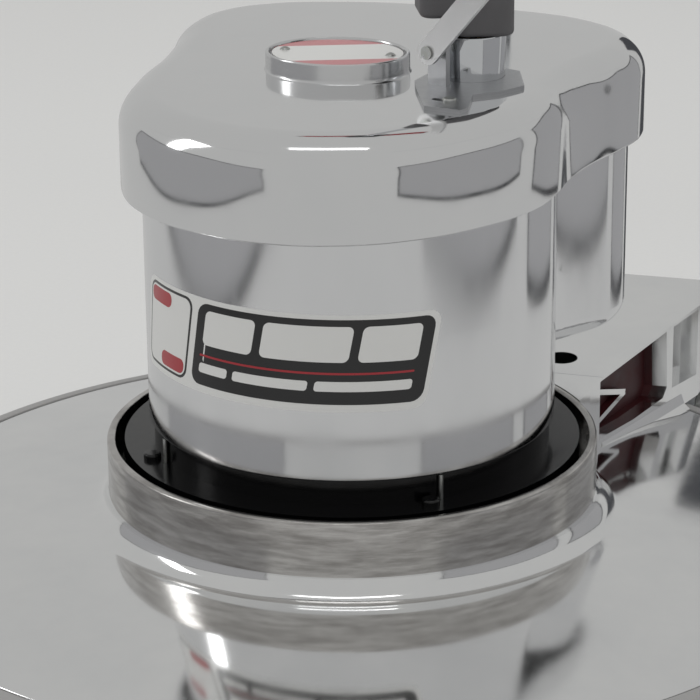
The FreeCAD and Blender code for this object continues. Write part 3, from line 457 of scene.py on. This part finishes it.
label_white = printed("white_printed_vinyl", "#e2e2e0")
label_black = printed("black_printed_vinyl", "#161617")
label_red = printed("red_printed_vinyl", "#a8202b")
label_parts = (
    ("can_label_border", label_white, 0, [(-107.0, 213.0, 72.5, 263.5, 7.0)]),
    ("can_label_panel", label_black, 1, [(-56.5, 217.0, 70.0, 261.0, 6.0)]),
    ("can_label_patch", label_black, 1, [(-104.0, 216.0, -61.0, 261.5, 6.0)]),
    ("can_label_patch_white", label_white, 2, [(-102.6, 217.4, -62.4, 260.1, 5.0)]),
    ("can_label_patch_red", label_red, 3, [(-101.5, 251.0, -79.0, 259.0, 3.5),
                                           (-86.0, 218.5, -63.5, 226.5, 3.5)]),
    ("can_label_bars", label_white, 2, [(-51.0, 239.0, -21.0, 257.5, 3.0), (-16.5, 239.0, 29.0, 257.5, 3.0),
                                        (33.5, 239.0, 63.5, 257.5, 3.0), (-51.5, 223.8, -33.0, 229.0, 1.5),
                                        (-29.5, 223.8, 11.0, 229.0, 1.5), (14.5, 223.8, 63.0, 229.0, 1.5)]),
    ("can_label_line", label_red, 2, [(-52.0, 232.6, 63.0, 233.7, 0.5)]),
)
for name, finish, layer, shapes in label_parts:
    sheet = make_piece(name, wrapped(shapes, LABEL_LIFT + LAYER_LIFT * layer), finish, sharp=40)
    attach(sheet, "machine")

# ---- Inside the motor ----------------------------------------------------------------------------
# Stacked laminations, enamelled copper coils, a cast upper end bell, bearings and a moulded fan.
# Stacked sheet steel: dull grey with level lines, drawn coarser than the real sheets so that they show.
laminations, tree, shader = start_finish("stacked_lamination_steel", "#6f7073", 0.45, metallic=1.0)
sheets = add(tree, "TexWave", {"Scale": 1 / 0.003, "Distortion": 0.4},
             {"Vector": add(tree, "TexCoord").outputs["Object"]}, bands_direction="Z")
bend = add(tree, "Bump", {"Distance": 0.0001}, {"Height": sheets.outputs["Fac"]})
tree.links.new(bend.outputs[0], shader.inputs["Normal"])
paint(laminations, "stator_core", "rotor_core")

# Varnished winding wire: reddish brown and glossy, ribbed by its turns.
copper, tree, shader = start_finish("enamelled_copper_wire", "#a8562a", 0.35, metallic=0.8, Coat_Weight=0.5)
turns = add(tree, "TexWave", {"Scale": 1 / 0.004, "Distortion": 1.5},
            {"Vector": add(tree, "TexCoord").outputs["Object"]}, wave_type="RINGS", rings_direction="Z")
bend = add(tree, "Bump", {"Distance": 0.0006}, {"Height": turns.outputs["Fac"]})
tree.links.new(bend.outputs[0], shader.inputs["Normal"])
paint(copper, "stator_windings")

# Sand cast alloy: grey and rough, with no clear reflection.
cast_alloy, tree, shader = start_finish("sand_cast_alloy", "#8d8f92", 0.5, metallic=1.0)
grain = add(tree, "TexNoise", {"Scale": 1 / 0.0015, "Detail": 3.0},
            {"Vector": add(tree, "TexCoord").outputs["Object"]})
bend = add(tree, "Bump", {"Distance": 0.0002}, {"Height": grain.outputs["Fac"]})
tree.links.new(bend.outputs[0], shader.inputs["Normal"])
paint(cast_alloy, "upper_end_bell", "drive_hub")

# Ground steel: bright, with fine rings left by the wheel.
ground_steel, tree, shader = start_finish("ground_bearing_steel", "#a3a5a8", 0.22, metallic=1.0)
rings = add(tree, "TexWave", {"Scale": 1 / 0.002, "Distortion": 0.6},
            {"Vector": add(tree, "TexCoord").outputs["Object"]}, bands_direction="Z")
bend = add(tree, "Bump", {"Distance": 0.00002}, {"Height": rings.outputs["Fac"]})
tree.links.new(bend.outputs[0], shader.inputs["Normal"])
paint(ground_steel, "lower_bearing", "upper_bearing", "motor_shaft")

# Moulded nylon: dark, even and half matt.
fan_nylon, tree, shader = start_finish("moulded_grey_nylon", "#3a3b3d", 0.5, IOR=1.53)
grain = add(tree, "TexNoise", {"Scale": 1 / 0.0008}, {"Vector": add(tree, "TexCoord").outputs["Object"]})
bend = add(tree, "Bump", {"Distance": 0.00005}, {"Height": grain.outputs["Fac"]})
tree.links.new(bend.outputs[0], shader.inputs["Normal"])
paint(fan_nylon, "cooling_fan")

# ---- Top cover -----------------------------------------------------------------------------------
# The polished casting that closes the motor and spreads into a lobe over the capacitors. It is hollow
# below, with a well rounded crest and a slightly rounded lower edge.
COVER_LOW, COVER_TOP, COVER_WALL, COVER_ROOF = 301.6, 354.0, 4.0, 8.0
COVER_CREST, COVER_LIP = 20.0, 1.6
COVER_OUTLINE = [(-5, -121), (30, -115), (60, -98), (87, -68), (104, -36), (110, -6), (111, 26), (116, 58),
                 (125, 88), (130, 118), (123, 150), (98, 178), (56, 195), (0, 199), (-60, 194), (-104, 177),
                 (-128, 150), (-134, 118), (-127, 80), (-121, 38), (-118, -5), (-108, -48), (-82, -88),
                 (-46, -112)]


def line_through(points):
    """A bmesh with one smooth flat closed line through the points."""
    curve = bpy.data.curves.new("outline", "CURVE")
    curve.dimensions = "3D"
    curve.resolution_u = 10
    spline = curve.splines.new("BEZIER")
    spline.bezier_points.add(len(points) - 1)
    for point, (x, y) in zip(spline.bezier_points, points):
        point.co = (x, y, 0)
        point.handle_left_type = point.handle_right_type = "AUTO"
    spline.use_cyclic_u = True
    holder = bpy.data.objects.new("outline", curve)
    bpy.context.scene.collection.objects.link(holder)
    bpy.context.view_layer.update()
    mesh = bpy.data.meshes.new_from_object(holder)
    bpy.data.objects.remove(holder)
    bpy.data.curves.remove(curve)
    bm = bmesh.new()
    bm.from_mesh(mesh)
    bpy.data.meshes.remove(mesh)
    bmesh.ops.remove_doubles(bm, verts=bm.verts, dist=0.01)
    return bm


def rounded(bm, edges, radius, steps):
    """Rounds edges."""
    bmesh.ops.bevel(bm, geom=edges, offset=radius, offset_type="OFFSET", segments=steps, profile=0.5,
                    affect="EDGES", material=-1, clamp_overlap=True)


def level_edges(bm, z):
    """The edges that lie at one height."""
    return [e for e in bm.edges if all(abs(v.co.z - z) < 0.01 for v in e.verts)]


bm = line_through(COVER_OUTLINE)
base = bmesh.ops.contextual_create(bm, geom=bm.edges[:])["faces"]
grown = bmesh.ops.extrude_face_region(bm, geom=base)
bmesh.ops.translate(bm, vec=(0, 0, COVER_TOP - COVER_LOW), verts=verts_of(grown))
bmesh.ops.translate(bm, vec=(0, 0, COVER_LOW), verts=bm.verts)
bmesh.ops.recalc_face_normals(bm, faces=bm.faces)
under = [f for f in bm.faces if f.normal.z < -0.9]
bmesh.ops.inset_region(bm, faces=under, thickness=COVER_WALL, use_even_offset=True)
hollow = bmesh.ops.extrude_face_region(bm, geom=under)
bmesh.ops.delete(bm, geom=under, context="FACES")
bmesh.ops.translate(bm, vec=(0, 0, COVER_TOP - COVER_LOW - COVER_ROOF), verts=verts_of(hollow))
rounded(bm, level_edges(bm, COVER_TOP), COVER_CREST, 16)
rounded(bm, level_edges(bm, COVER_LOW), COVER_LIP, 4)
bmesh.ops.recalc_face_normals(bm, faces=bm.faces)
# Buffed casting, the brightest polish on the machine: nearly a mirror, in long soft waves. Its tint,
# a shade darker than the deck's, is painted shade.
cover_metal = buffed_metal("buffed_cover_aluminium", "#e9e9e9", 0.06, 0.06, 60, 0.05)
cover = make_piece("buffed_cover", bm, cover_metal, sharp=35)
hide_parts("motor_cover")
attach(cover, "machine")

# ---- Badge ---------------------------------------------------------------------------------------
# A raised oval boss of the same casting, with an enamelled plate sunk in its top and held by two
# domed rivets. The plate is white between a red segment above and below.
BADGE_AT, BADGE_TURN = (-12.0, 20.0), -20.0
SEGMENT_FROM = 16.4  # how far the red segments start from the middle of the plate
BOSS_SIZE = (38.0, 32.0)
boss_outline = [(38.8, 353.0), (38.8, 354.0), (38.3, 354.6), (38, 355.6), (38, 362.9)]
boss_outline += arc(36.9, 362.9, 1.1, 0, 180, 6)
boss_outline += [(35.2, 361.0), (34.0, 360.6), (34.0, 353.0)]
bm = spun(boss_outline, steps=128)
bmesh.ops.scale(bm, vec=(1, BOSS_SIZE[1] / BOSS_SIZE[0], 1), verts=bm.verts)
bmesh.ops.translate(bm, vec=(BADGE_AT[0], BADGE_AT[1], 0), verts=bm.verts)
# The casting again, fettled by hand: hazier and more broken up. Its greyer tint is painted shade.
boss_metal = buffed_metal("fettled_boss_aluminium_with_painted_shade", "#cfcfcf", 0.16, 0.1, 20, 0.04)
boss = make_piece("badge_boss", bm, boss_metal)
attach(boss, "machine")

# Fired enamel under a clear glaze: clean white and a slightly mottled red, with a sharp gloss.
badge_enamel, tree, shader = start_finish("kiln_fired_badge_enamel", "#d9d9d6", 0.2, IOR=1.52,
                                          Coat_Weight=0.8, Coat_Roughness=0.04)
place = add(tree, "TexCoord").outputs["Object"]
grain = add(tree, "TexNoise", {"Scale": 1 / 0.004}, {"Vector": place})
turned = add(tree, "VectorRotate",
             {"Center": (BADGE_AT[0] * MM, BADGE_AT[1] * MM, 0), "Angle": math.radians(BADGE_TURN)},
             {"Vector": place})
centred = add(tree, "Mapping", {"Location": (-BADGE_AT[0] * MM, -BADGE_AT[1] * MM, 0)},
              {"Vector": turned.outputs[0]})
across = add(tree, "SeparateXYZ", links={0: centred.outputs[0]})
off = add(tree, "Math", links={0: across.outputs["Y"]}, operation="ABSOLUTE")
segment = add(tree, "Math", {1: SEGMENT_FROM * MM}, {0: off.outputs[0]}, operation="GREATER_THAN")
mottle = add(tree, "Mix", {6: linear("#c4424c"), 7: linear("#ab2f3a")}, {0: grain.outputs["Fac"]},
             data_type="RGBA")
face = add(tree, "Mix", {6: linear("#dcdcd9")}, {0: segment.outputs[0], 7: mottle.outputs[2]},
           data_type="RGBA")
tree.links.new(face.outputs[2], shader.inputs["Base Color"])
paint(badge_enamel, "badge_plate")

# ---- Capacitor box -------------------------------------------------------------------------------
# A deep-drawn steel cover, chromed, that hangs from the cover's lobe behind the can.
paint(polished_can, "capacitor_cover")
# Extruded aluminium cans: plain grey metal, evenly dull.
can_alloy, tree, shader = start_finish("extruded_capacitor_can", "#b0b2b3", 0.35, metallic=1.0)
grain = add(tree, "TexNoise", {"Scale": 1 / 0.003}, {"Vector": add(tree, "TexCoord").outputs["Object"]})
dull = add(tree, "MapRange", {"To Min": 0.25, "To Max": 0.45}, {"Value": grain.outputs["Fac"]})
tree.links.new(dull.outputs[0], shader.inputs["Roughness"])
paint(can_alloy, "capacitors", "run_switch")

# ---- Power inlet, plug and latch -----------------------------------------------------------------
# A chromed brass shell on a flat slotted steel plate, which one screw holds to the cover. The lead's
# moulded rubber plug stands in it, and a flat bar swings on a pin across the plug to keep it in.
INLET_AT = (59.5, 18.0)
# Bright chrome plate: a slightly cool mirror with small ripples.
chrome = buffed_metal("bright_chrome_plate", "#cfd2d6", 0.05, 0.07, 12, 0.01)
paint(chrome, "handle_tube", "handlebars", "hook_clamps", "lower_hook", "upper_hook", "tilt_lock_lever")
shell_outline = [(17.3, 354.0), (18.3, 377.6), (17.9, 378.6), (15.4, 378.6), (15.0, 378.2), (15.0, 362.0),
                 (ON_AXIS, 362.0), (ON_AXIS, 354.0)]
bm = spun(shell_outline, steps=96)
bmesh.ops.translate(bm, vec=(INLET_AT[0], INLET_AT[1], 0), verts=bm.verts)
inlet = make_piece("chromed_inlet", bm, chrome)
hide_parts("power_inlet")
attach(inlet, "machine")

# Pressed steel: pale and patchy, half dull.
bracket_steel, tree, shader = start_finish("pressed_bracket_steel", "#b9babc", 0.3, metallic=1.0)
grain = add(tree, "TexNoise", {"Scale": 1 / 0.004, "Detail": 3.0},
            {"Vector": add(tree, "TexCoord").outputs["Object"]})
dull = add(tree, "MapRange", {"To Min": 0.22, "To Max": 0.42}, {"Value": grain.outputs["Fac"]})
tree.links.new(dull.outputs[0], shader.inputs["Roughness"])
paint(bracket_steel, "inlet_bracket")

# Chrome brushed along the bar: bright, with a soft sheen and no clear reflection.
latch_chrome, tree, shader = start_finish("brushed_latch_chrome", "#dedede", 0.3, metallic=0.75)
brushed = add(tree, "TexNoise", {"Scale": 1 / 0.002, "Detail": 3.0},
              {"Vector": add(tree, "Mapping", {"Scale": (1, 1, 0.2)},
                             {"Vector": add(tree, "TexCoord").outputs["Object"]}).outputs[0]})
dull = add(tree, "MapRange", {"To Min": 0.22, "To Max": 0.42}, {"Value": brushed.outputs["Fac"]})
tree.links.new(dull.outputs[0], shader.inputs["Roughness"])
paint(latch_chrome, "plug_latch")

# Turned brass contacts: warm yellow metal, lightly dulled.
brass, tree, shader = start_finish("turned_contact_brass", "#c9a25a", 0.3, metallic=1.0)
grain = add(tree, "TexNoise", {"Scale": 1 / 0.001}, {"Vector": add(tree, "TexCoord").outputs["Object"]})
dull = add(tree, "MapRange", {"To Min": 0.2, "To Max": 0.4}, {"Value": grain.outputs["Fac"]})
tree.links.new(dull.outputs[0], shader.inputs["Roughness"])
paint(brass, "inlet_pins")

# Moulded rubber: dark grey and matt, with a faint bloom.
plug_rubber, tree, shader = start_finish("moulded_plug_rubber", "#5b5a5c", 0.55, IOR=1.5)
place = add(tree, "TexCoord").outputs["Object"]
grain = add(tree, "TexNoise", {"Scale": 1 / 0.0007, "Detail": 3.0}, {"Vector": place})
blotch = add(tree, "TexNoise", {"Scale": 1 / 0.012, "Detail": 3.0}, {"Vector": place})
tint = add(tree, "Mix", {6: linear("#545355"), 7: linear("#636264")}, {0: blotch.outputs["Fac"]},
           data_type="RGBA")
tree.links.new(tint.outputs[2], shader.inputs["Base Color"])
bend = add(tree, "Bump", {"Distance": 0.00008}, {"Height": grain.outputs["Fac"]})
tree.links.new(bend.outputs[0], shader.inputs["Normal"])
paint(plug_rubber, "motor_plug")

# ---- Pad, driver and centre lock -----------------------------------------------------------------
# The pad is a thick disc of looped natural and polyester fibre, held up against a fibre-faced
# plastic board by a screwed centre lock.
# Moulded plastic board: dark and matt, coarsely grained.
driver_board, tree, shader = start_finish("moulded_driver_board", "#2c2d30", 0.6, IOR=1.5)
grain = add(tree, "TexNoise", {"Scale": 1 / 0.002}, {"Vector": add(tree, "TexCoord").outputs["Object"]})
bend = add(tree, "Bump", {"Distance": 0.0002}, {"Height": grain.outputs["Fac"]})
tree.links.new(bend.outputs[0], shader.inputs["Normal"])
paint(driver_board, "pad_driver")

# Moulded nylon: an even blue with a soft shine.
lock_plastic, tree, shader = start_finish("moulded_lock_nylon", "#1f4f7d", 0.4, IOR=1.53)
grain = add(tree, "TexNoise", {"Scale": 1 / 0.0015}, {"Vector": add(tree, "TexCoord").outputs["Object"]})
bend = add(tree, "Bump", {"Distance": 0.00006}, {"Height": grain.outputs["Fac"]})
tree.links.new(bend.outputs[0], shader.inputs["Normal"])
paint(lock_plastic, "centre_lock")

PAD_FLAT_R, PAD_THICK = 250, 25
# Looped fibre: tan, quite matt and open, with strands drawn coarser than real ones so that they show.
pad_fibre, tree, shader = start_finish("looped_pad_fibre", "#c9b48d", 0.95, Sheen_Weight=0.5,
                                       Sheen_Roughness=0.5)
place = add(tree, "TexCoord").outputs["Object"]
strands = add(tree, "TexNoise", {"Scale": 1 / 0.0035, "Detail": 6.0, "Roughness": 0.7, "Distortion": 1.2},
              {"Vector": place})
tint = add(tree, "ValToRGB", links={"Fac": strands.outputs["Fac"]})
tint.color_ramp.elements[0].position, tint.color_ramp.elements[0].color = 0.34, linear("#8f7a56")
tint.color_ramp.elements[1].position, tint.color_ramp.elements[1].color = 0.66, linear("#dccaa5")
tree.links.new(tint.outputs["Color"], shader.inputs["Base Color"])
bend = add(tree, "Bump", {"Distance": 0.0015}, {"Height": strands.outputs["Fac"]})
tree.links.new(bend.outputs[0], shader.inputs["Normal"])
pad_outline = [(42, 13), (58, 13), (58, 0.6), (58.8, 0)]
pad_outline += [(58.8 + 191.2 * i / 24, 0) for i in range(1, 25)]
pad_outline += arc(PAD_FLAT_R, 4, 3.9, -80, 0, 3) + [(253.9, 9), (253.9, 13), (253.9, 17)]
pad_outline += arc(PAD_FLAT_R, PAD_THICK - 4, 3.9, 0, 90, 3)
pad_outline += [(PAD_FLAT_R - 208 * i / 12, PAD_THICK) for i in range(1, 13)]
bm = spun(pad_outline, steps=220)
for v in bm.verts:
    reach = math.hypot(v.co.x, v.co.y)
    if reach > PAD_FLAT_R - 1:
        turn = math.atan2(v.co.y, v.co.x)
        tuft = (0.8 * math.sin(61 * turn) * math.sin(37 * turn + v.co.z)
                + 0.5 * math.sin(143 * turn + v.co.z * 0.7))
        v.co.x *= 1 + (tuft - 1.3) / reach
        v.co.y *= 1 + (tuft - 1.3) / reach
pad = make_piece("fibre_pad", bm, pad_fibre, sharp=60)
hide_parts("burnishing_pad")
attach(pad, "rotor")

# ---- Wheels --------------------------------------------------------------------------------------
# Grey rubber tyres on moulded hubs, on one zinc-plated axle.
AXLE_AT = (335.0, 63.5)
TYRE_STARTS = (("right", 100.0), ("left", -132.0))
# Moulded rubber: nearly black and matt, scuffed paler in patches.
tyre_rubber, tree, shader = start_finish("moulded_tyre_rubber", "#2a2a2b", 0.6, IOR=1.5)
place = add(tree, "TexCoord").outputs["Object"]
scuff = add(tree, "TexNoise", {"Scale": 1 / 0.01, "Detail": 5.0}, {"Vector": place})
tint = add(tree, "Mix", {6: linear("#232324"), 7: linear("#3a3938")}, {0: scuff.outputs["Fac"]},
           data_type="RGBA")
tree.links.new(tint.outputs[2], shader.inputs["Base Color"])
bend = add(tree, "Bump", {"Distance": 0.0002}, {"Height": scuff.outputs["Fac"]})
tree.links.new(bend.outputs[0], shader.inputs["Normal"])
# Moulded plastic: mid grey, even and half matt.
hub_plastic, tree, shader = start_finish("moulded_hub_plastic", "#8c8e90", 0.45, IOR=1.5)
grain = add(tree, "TexNoise", {"Scale": 1 / 0.0012}, {"Vector": add(tree, "TexCoord").outputs["Object"]})
bend = add(tree, "Bump", {"Distance": 0.00006}, {"Height": grain.outputs["Fac"]})
tree.links.new(bend.outputs[0], shader.inputs["Normal"])
paint(hub_plastic, "wheel_hub_right", "wheel_hub_left")
tyre_outline = [(48, 0.4), (49, 0)] + [(54, 0), (55, 0.8), (56, 0)] + arc(57, 6.5, 6.5, -90, 0, 8)
tyre_outline += [(63.5, 12.6), (62.3, 13.2), (62.3, 14.6), (63.5, 15.2), (63.5, 16.8), (62.3, 17.4),
                 (62.3, 18.8), (63.5, 19.4)]
tyre_outline += arc(57, 25.5, 6.5, 0, 90, 8) + [(56, 32), (55, 31.2), (54, 32), (49, 32), (48, 31.6)]
for side, start in TYRE_STARTS:
    bm = spun(tyre_outline, steps=128)
    bmesh.ops.rotate(bm, matrix=Matrix.Rotation(math.radians(90), 3, "Y"), verts=bm.verts)
    bmesh.ops.translate(bm, vec=(start, AXLE_AT[0], AXLE_AT[1]), verts=bm.verts)
    tyre = make_piece("rubber_tyre_" + side, bm, tyre_rubber)
    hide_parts("tyre_" + side)
    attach(tyre, "wheel_" + side)

# ---- Handle and switch head ----------------------------------------------------------------------
# A chromed tube with a moulded switch head on top, rubber grips, finger levers below them and a
# lock button.
# Moulded ABS: black and half matt, with a fine even texture.
head_plastic, tree, shader = start_finish("moulded_black_abs", "#1d1d1f", 0.4, IOR=1.54)
grain = add(tree, "TexNoise", {"Scale": 1 / 0.0009, "Detail": 2.0},
            {"Vector": add(tree, "TexCoord").outputs["Object"]})
bend = add(tree, "Bump", {"Distance": 0.00008}, {"Height": grain.outputs["Fac"]})
tree.links.new(bend.outputs[0], shader.inputs["Normal"])
paint(head_plastic, "switch_housing", "housing_cover", "cord_gland")

# Moulded nylon: plain red with a soft shine.
lever_plastic, tree, shader = start_finish("moulded_red_nylon", "#a3242c", 0.42, IOR=1.53)
grain = add(tree, "TexNoise", {"Scale": 1 / 0.0011}, {"Vector": add(tree, "TexCoord").outputs["Object"]})
bend = add(tree, "Bump", {"Distance": 0.00006}, {"Height": grain.outputs["Fac"]})
tree.links.new(bend.outputs[0], shader.inputs["Normal"])
paint(lever_plastic, "switch_levers")

# Moulded ABS: plain yellow with a soft shine.
button_plastic, tree, shader = start_finish("moulded_yellow_abs", "#c9a21e", 0.35, IOR=1.54)
grain = add(tree, "TexNoise", {"Scale": 1 / 0.001}, {"Vector": add(tree, "TexCoord").outputs["Object"]})
bend = add(tree, "Bump", {"Distance": 0.00005}, {"Height": grain.outputs["Fac"]})
tree.links.new(bend.outputs[0], shader.inputs["Normal"])
paint(button_plastic, "lock_button")

GRIP_AT = (322.0, 1034.0)
RIBS, RIB_START, RIB_PITCH = 17, 86, 6
# Moulded rubber: black and matt, with a fine grain.
grip_rubber, tree, shader = start_finish("moulded_grip_rubber", "#202021", 0.65, IOR=1.5)
grain = add(tree, "TexNoise", {"Scale": 1 / 0.0008, "Detail": 3.0},
            {"Vector": add(tree, "TexCoord").outputs["Object"]})
bend = add(tree, "Bump", {"Distance": 0.0001}, {"Height": grain.outputs["Fac"]})
tree.links.new(bend.outputs[0], shader.inputs["Normal"])
grip_outline = [(12.2, 78), (15.0, 78), (16.0, 79), (16.0, 83), (14.8, 84.5)]
for i in range(RIBS):
    start = RIB_START + i * RIB_PITCH
    grip_outline += [(14.8, start), (15.6, start + 1.2), (15.6, start + 3.2), (14.8, start + 4.4)]
grip_outline += [(14.8, 189.5), (16.0, 191)] + arc(12, 196, 4, 0, 90, 5)
grip_outline += [(ON_AXIS, 200), (ON_AXIS, 196), (12.2, 196)]
for side in (1, -1):
    bm = spun(grip_outline, steps=64)
    bmesh.ops.rotate(bm, matrix=Matrix.Rotation(math.radians(90 * side), 3, "Y"), verts=bm.verts)
    bmesh.ops.translate(bm, vec=(0, GRIP_AT[0], GRIP_AT[1]), verts=bm.verts)
    grip = make_piece("ribbed_grip_" + ("right" if side > 0 else "left"), bm, grip_rubber, sharp=40)
    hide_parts("hand_grips")
    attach(grip, "handle")
